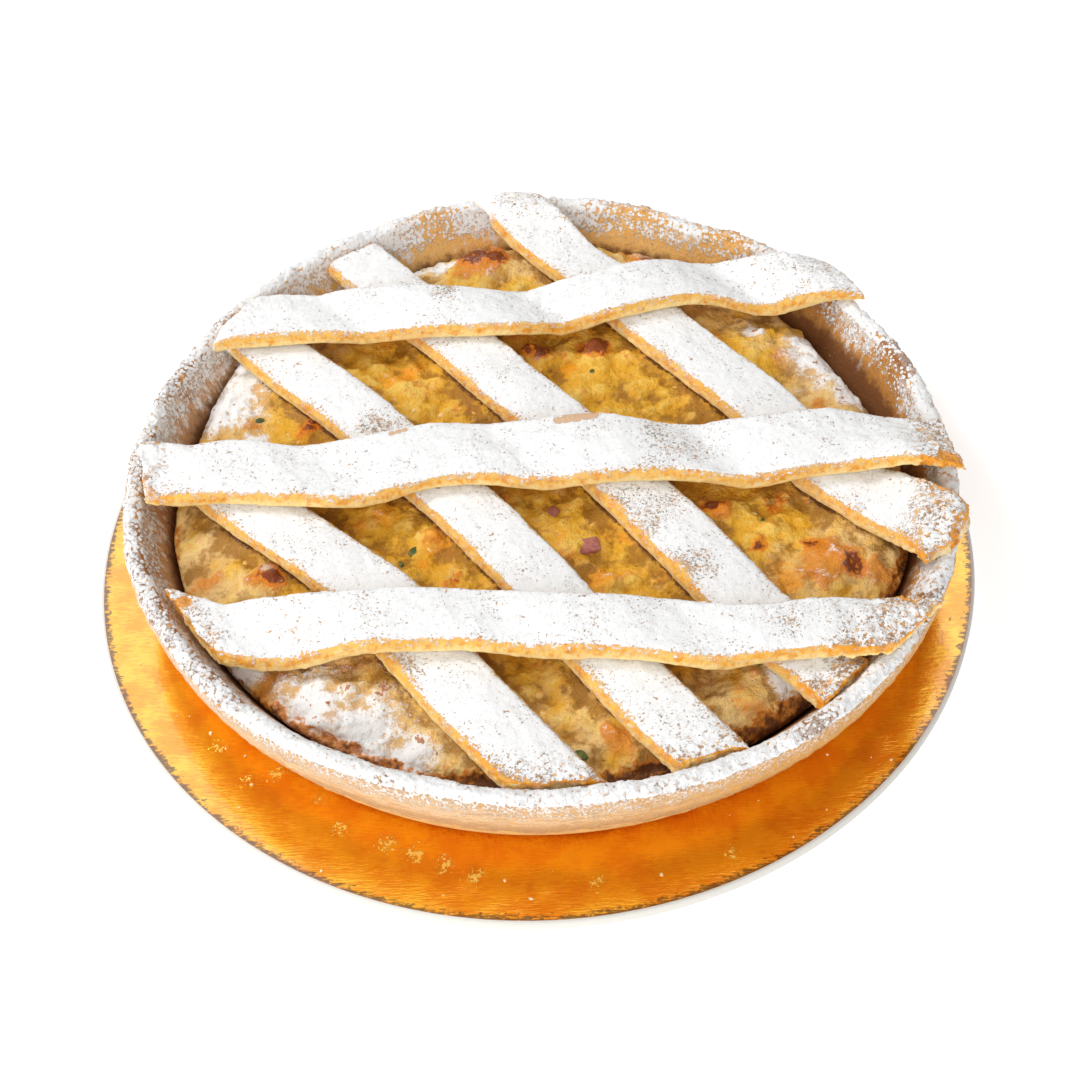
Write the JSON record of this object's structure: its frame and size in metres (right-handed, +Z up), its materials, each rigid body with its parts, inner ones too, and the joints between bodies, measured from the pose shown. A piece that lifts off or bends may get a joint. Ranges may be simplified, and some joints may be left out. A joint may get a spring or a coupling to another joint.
{
  "type": "lattice-topped ricotta pie on a gold cake card",
  "caption": "Round shortcrust pie with an uneven rim, a lumpy ricotta filling and a woven-looking lattice of sugared dough strips, on a round gold card",
  "frame": {"origin": "centre of the underside of the card", "axes": "+Z up; +X along the long strips, to the right as the pie is seen from the front; +Y away from the front"},
  "size_m": [0.28, 0.28, 0.0451],
  "materials": {
    "gold_card": "gold foil on white cardboard, glossy, with fine scratches",
    "crust": "baked shortcrust pastry, dusted with icing sugar on its rim",
    "filling": "baked ricotta and cooked wheat, moist and lumpy, with browned knobs",
    "strips": "shortcrust strips under a thick layer of icing sugar, toasted along their cut edges"
  },
  "bodies": {
    "root": {"gold_card": "gold_card", "crust": "crust", "filling": "filling", "strip_slant_1": "strips", "strip_slant_2": "strips", "strip_slant_3": "strips", "strip_slant_4": "strips", "strip_long_back": "strips", "strip_long_middle": "strips", "strip_long_front": "strips"}
  },
  "joints": []
}
